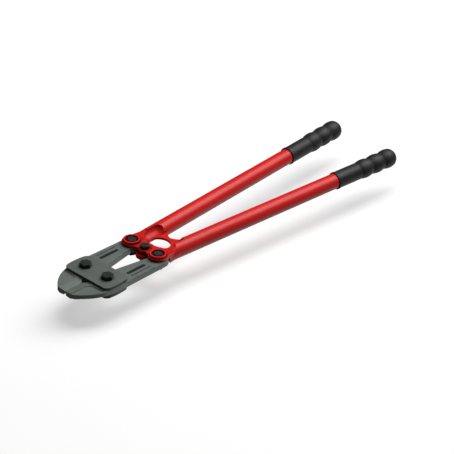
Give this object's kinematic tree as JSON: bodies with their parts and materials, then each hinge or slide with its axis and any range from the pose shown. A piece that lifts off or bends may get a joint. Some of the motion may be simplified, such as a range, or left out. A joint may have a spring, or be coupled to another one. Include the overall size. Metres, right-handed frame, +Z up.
{
  "type": "bolt cutters",
  "caption": "Long-handled bolt cutters with hinged forged jaws, cover plates, red tubular handles and ribbed grips that open and close the jaws.",
  "frame": {"origin": "middle of the closed tool's footprint, on the plane it lies on", "axes": "+X from the jaws to the grips, +Y to the right-hand handle seen from above with the jaws to the left, +Z up out of the cover plates"},
  "size_m": [0.6158, 0.143, 0.03],
  "materials": {
    "jaw_steel": "phosphated forged steel, satin",
    "plate_steel": "phosphated plate, satin",
    "red_enamel": "glossy red enamel",
    "black_oxide_steel": "black oxide fasteners",
    "grip_rubber": "moulded black grip, semi-matte"
  },
  "bodies": {
    "link": {"bottom_link_plate": "plate_steel", "top_link_plate": "plate_steel", "right_jaw_pivot_bolt": "black_oxide_steel", "left_jaw_pivot_bolt": "black_oxide_steel", "right_jaw_pivot_nut": "black_oxide_steel", "left_jaw_pivot_nut": "black_oxide_steel"},
    "jaw_right": {"right_jaw": "jaw_steel"},
    "jaw_left": {"left_jaw": "jaw_steel"},
    "centre_pivot": {"centre_pivot_bolt": "black_oxide_steel", "centre_pivot_washer": "black_oxide_steel", "centre_pivot_nut": "black_oxide_steel"},
    "handle_right": {"right_handle_head": "red_enamel", "right_handle_tube": "red_enamel", "right_grip": "grip_rubber", "right_handle_pivot_bolt": "black_oxide_steel", "right_handle_pivot_washer": "black_oxide_steel", "right_handle_pivot_nut": "black_oxide_steel"},
    "handle_left": {"left_handle_head": "red_enamel", "left_handle_tube": "red_enamel", "left_grip": "grip_rubber", "left_handle_pivot_bolt": "black_oxide_steel", "left_handle_pivot_washer": "black_oxide_steel", "left_handle_pivot_nut": "black_oxide_steel"}
  },
  "joints": [
    {"name": "centre_pivot_slide", "type": "slide", "parent": "link", "child": "centre_pivot", "axis": [1, 0, 0], "range_m": [0, 0.01968]},
    {"name": "right_handle_hinge", "type": "hinge", "parent": "centre_pivot", "child": "handle_right", "pos_m": [-0.14989, 0, 0.0156], "axis": [0, 0, 1], "range_deg": [0, 45]},
    {"name": "left_handle_hinge", "type": "hinge", "parent": "centre_pivot", "child": "handle_left", "pos_m": [-0.14989, 0, 0.0156], "axis": [0, 0, 1], "range_deg": [-45.5, 0]},
    {"name": "right_jaw_hinge", "type": "hinge", "parent": "link", "child": "jaw_right", "pos_m": [-0.24589, 0.0228, 0.0136], "axis": [0, 0, 1], "range_deg": [-4.87, 0]},
    {"name": "left_jaw_hinge", "type": "hinge", "parent": "link", "child": "jaw_left", "pos_m": [-0.24589, -0.0228, 0.0136], "axis": [0, 0, 1], "range_deg": [0, 4.87]}
  ],
  "couplings": [
    {"joint": "left_handle_hinge", "follows": "right_handle_hinge", "ratio": -1},
    {"joint": "right_jaw_hinge", "follows": "right_handle_hinge", "ratio": -0.10712},
    {"joint": "left_jaw_hinge", "follows": "right_handle_hinge", "ratio": 0.10712},
    {"joint": "centre_pivot_slide", "follows": "right_handle_hinge", "m_per_rad": 0.02493}
  ]
}
